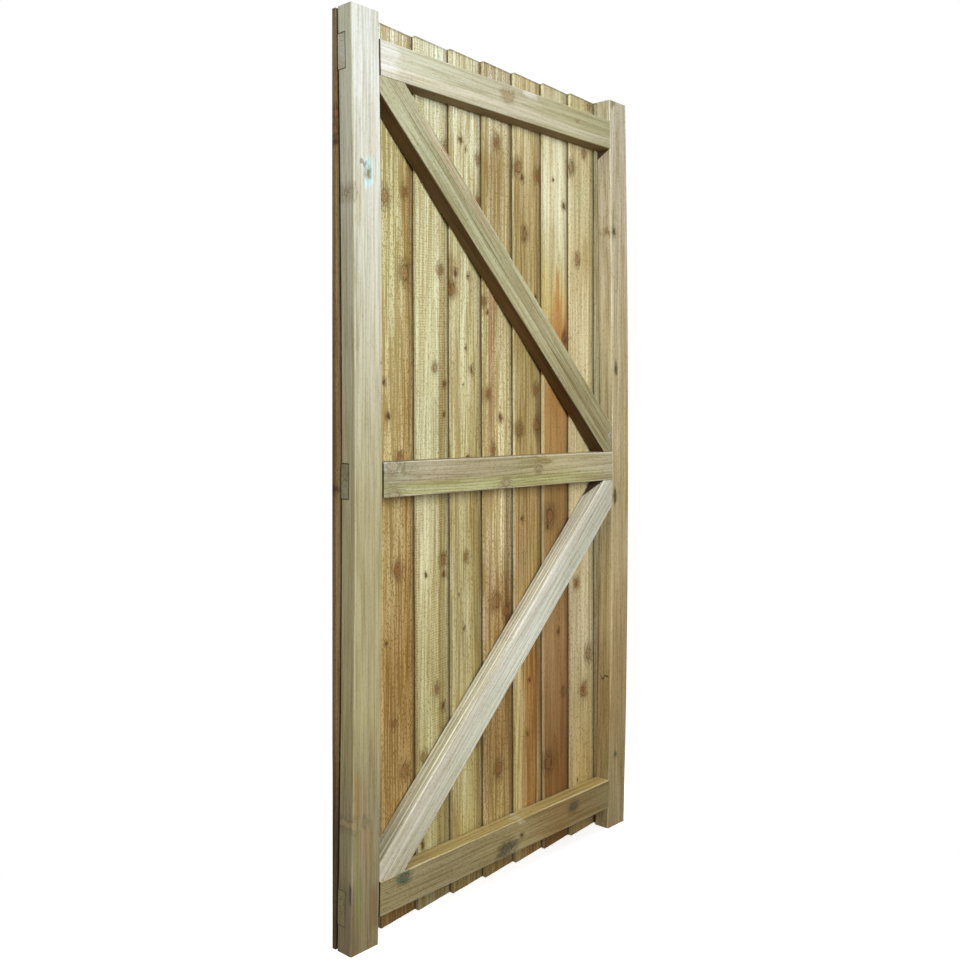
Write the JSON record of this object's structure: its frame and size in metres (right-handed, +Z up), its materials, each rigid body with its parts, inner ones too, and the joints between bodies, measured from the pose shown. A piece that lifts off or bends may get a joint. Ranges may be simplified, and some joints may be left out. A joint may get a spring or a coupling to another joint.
{
  "type": "wooden garden gate leaf",
  "caption": "Closeboard garden gate leaf: half-lapped frame with three rails, two diagonal braces and lapped featheredge boards on the street side.",
  "frame": {"origin": "foot of the hinge stile's outer edge face, at the middle of the frame's depth", "axes": "+X across the gate from the hinge stile to the latch stile, +Y from the framed side to the boarded side, +Z up"},
  "size_m": [0.9, 0.069, 1.8],
  "materials": {
    "frame_timber": "pressure-treated planed softwood, matt",
    "board_timber": "pressure-treated sawn softwood, matt"
  },
  "bodies": {
    "root": {"hinge_stile": "frame_timber", "latch_stile": "frame_timber", "top_rail": "frame_timber", "middle_rail": "frame_timber", "bottom_rail": "frame_timber", "upper_brace": "frame_timber", "lower_brace": "frame_timber", "board_1": "board_timber", "board_2": "board_timber", "board_3": "board_timber", "board_4": "board_timber", "board_5": "board_timber", "board_6": "board_timber", "board_7": "board_timber", "board_8": "board_timber", "board_9": "board_timber"}
  },
  "joints": []
}
